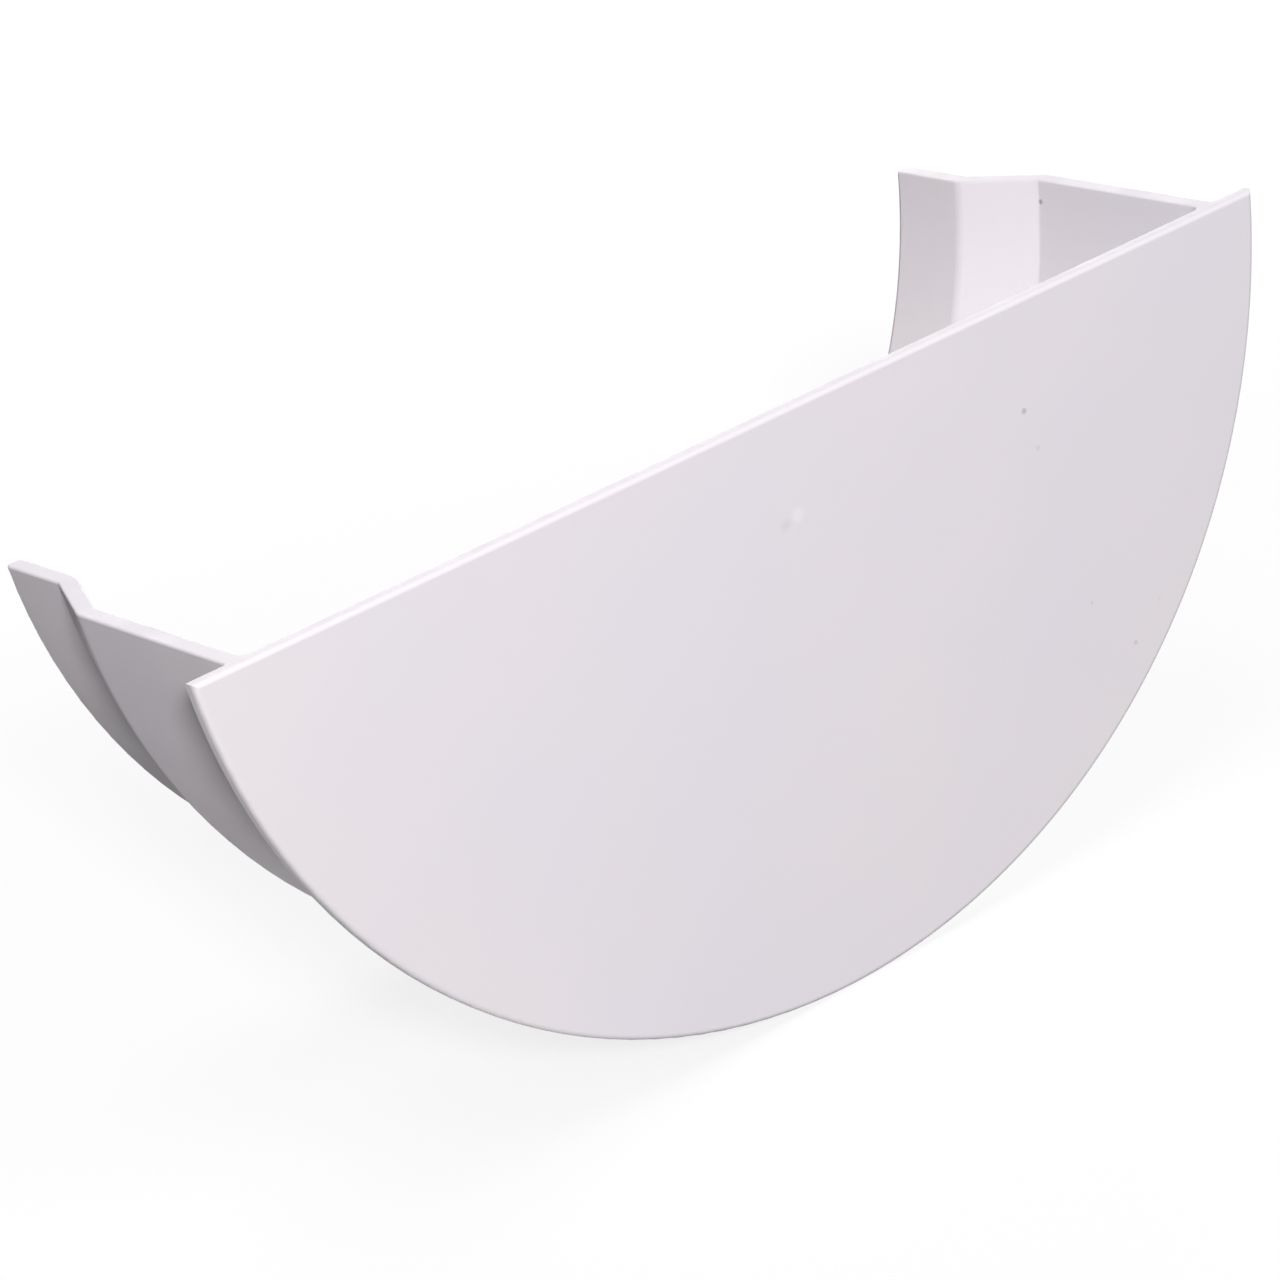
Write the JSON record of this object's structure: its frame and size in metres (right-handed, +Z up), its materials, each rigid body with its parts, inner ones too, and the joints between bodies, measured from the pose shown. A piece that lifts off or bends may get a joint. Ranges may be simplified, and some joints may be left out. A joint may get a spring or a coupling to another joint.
{
  "type": "gutter end cap",
  "caption": "White plastic end cap for a half-round roof gutter: a flat segment plate with a stepped skirt that slides over the gutter's end and closes it.",
  "frame": {"origin": "middle of the top edge of the plate's inner face, where the gutter's end butts", "axes": "+X along the plate's width, +Y out of the mouth along the gutter, +Z up"},
  "size_m": [0.1326, 0.0435, 0.0594],
  "materials": {
    "body": "satin white moulded PVC"
  },
  "bodies": {
    "root": {"end_cap": "body"}
  },
  "joints": []
}
